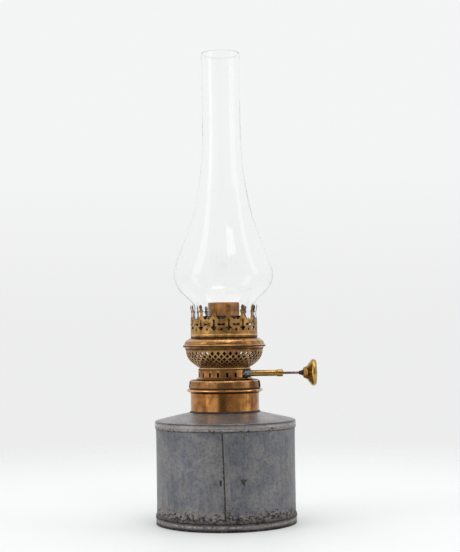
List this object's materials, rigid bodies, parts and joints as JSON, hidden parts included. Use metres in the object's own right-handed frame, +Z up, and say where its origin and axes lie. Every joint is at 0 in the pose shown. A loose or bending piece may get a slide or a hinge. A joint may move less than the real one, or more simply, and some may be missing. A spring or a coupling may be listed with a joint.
{
  "type": "magic lantern oil lamp",
  "caption": "Lantern's paraffin lamp: round tin tank, screwed brass round-wick burner with side knob, and a tall bulbous glass chimney.",
  "frame": {"origin": "centre of the tank's flat underside, on the lamp's axis", "axes": "+Z up along the lamp's axis to the chimney's mouth, +X along the wick shaft to its knob, -Y to the side of the tank's soldered seam"},
  "size_m": [0.1444, 0.126, 0.417],
  "materials": {
    "tinplate": "oxidised tinplate, mottled blue-grey, semi-matt",
    "solder": "dull grey soft solder",
    "old_brass": "aged brown brass, satin",
    "bright_brass": "rubbed yellow brass, satin",
    "dark_brass": "dark brown brass inside the burner",
    "steel_wire": "browned steel wire",
    "leather": "oil-darkened leather",
    "cotton": "woven cotton",
    "glass": "clear blown glass"
  },
  "bodies": {
    "tank": {"tank_wall": "tinplate", "tank_bottom_pan": "tinplate", "tank_top_cover": "tinplate", "bottom_solder": "solder", "cover_solder": "solder", "collar": "old_brass", "collar_thread_ring": "old_brass", "collar_solder": "solder"},
    "washer": {"leather_washer": "leather"},
    "burner": {"burner_thread_ring": "old_brass", "burner_floor": "dark_brass", "burner_cup": "old_brass", "vent_tube": "dark_brass", "slotted_neck": "old_brass", "basket_foot_ring": "old_brass", "pierced_basket": "old_brass", "cowl": "old_brass", "air_cone": "dark_brass", "gallery": "bright_brass", "chimney_spring_ring": "dark_brass", "outer_wick_tube": "old_brass", "inner_draught_tube": "dark_brass", "air_window_frame": "dark_brass", "drive_housing": "dark_brass", "shaft_sleeve": "bright_brass", "sleeve_bush": "dark_brass", "sleeve_ferrule": "bright_brass", "sleeve_solder": "solder"},
    "wick_spindle": {"wick_shaft": "steel_wire", "left_spur_wheel": "dark_brass", "right_spur_wheel": "dark_brass", "shaft_keeper": "dark_brass", "knob_hub": "steel_wire", "knob_shell": "bright_brass", "knob_face": "bright_brass"},
    "wick": {"wick": "cotton"},
    "chimney": {"chimney": "glass"}
  },
  "joints": [
    {"name": "burner_lift", "type": "slide", "parent": "tank", "child": "washer", "axis": [0, 0, 1], "range_m": [0, 0.008]},
    {"name": "burner_unscrew", "type": "hinge", "parent": "washer", "child": "burner", "pos_m": [0, 0, 0.1], "axis": [0, 0, 1], "range_deg": [0, 1152]},
    {"name": "knob_turn", "type": "hinge", "parent": "burner", "child": "wick_spindle", "pos_m": [0.03, -0.01405, 0.1326], "axis": [1, 0, 0], "range_deg": [-81.85, 163.7]},
    {"name": "wick_raise", "type": "slide", "parent": "burner", "child": "wick", "axis": [0, 0, 1], "range_m": [-0.004, 0.008]},
    {"name": "chimney_lift", "type": "slide", "parent": "burner", "child": "chimney", "axis": [0, 0, 1], "range_m": [0, 0.06]}
  ],
  "couplings": [
    {"joint": "burner_lift", "follows": "burner_unscrew", "m_per_rad": 0.00039789},
    {"joint": "wick_raise", "follows": "knob_turn", "m_per_rad": 0.0028}
  ]
}
